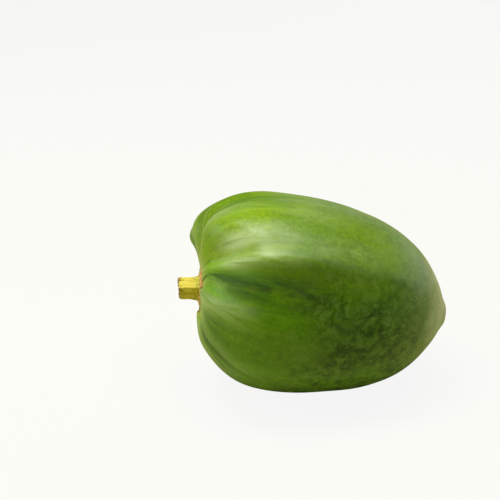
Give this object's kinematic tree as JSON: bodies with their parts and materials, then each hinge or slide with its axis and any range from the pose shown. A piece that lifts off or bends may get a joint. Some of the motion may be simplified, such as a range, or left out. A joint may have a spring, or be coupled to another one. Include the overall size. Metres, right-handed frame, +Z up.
{
  "type": "green papaya",
  "caption": "Whole unripe papaya lying on its side, with furrowed shoulders, a tapering blossom end, a short stub of stalk and the dried calyx round its foot.",
  "frame": {"origin": "on the surface that the fruit lies on, under the centre of its bounding box", "axes": "+X along the lying fruit from its stalk to its blossom end, +Z up, -Y towards the side that is usually seen"},
  "size_m": [0.1624, 0.1182, 0.1217],
  "materials": {
    "fruit_skin": "satin",
    "stalk": "matte",
    "dried_calyx": "matte"
  },
  "bodies": {
    "root": {"papaya_fruit": "fruit_skin", "stalk_stub": "stalk", "calyx": "dried_calyx"}
  },
  "joints": []
}
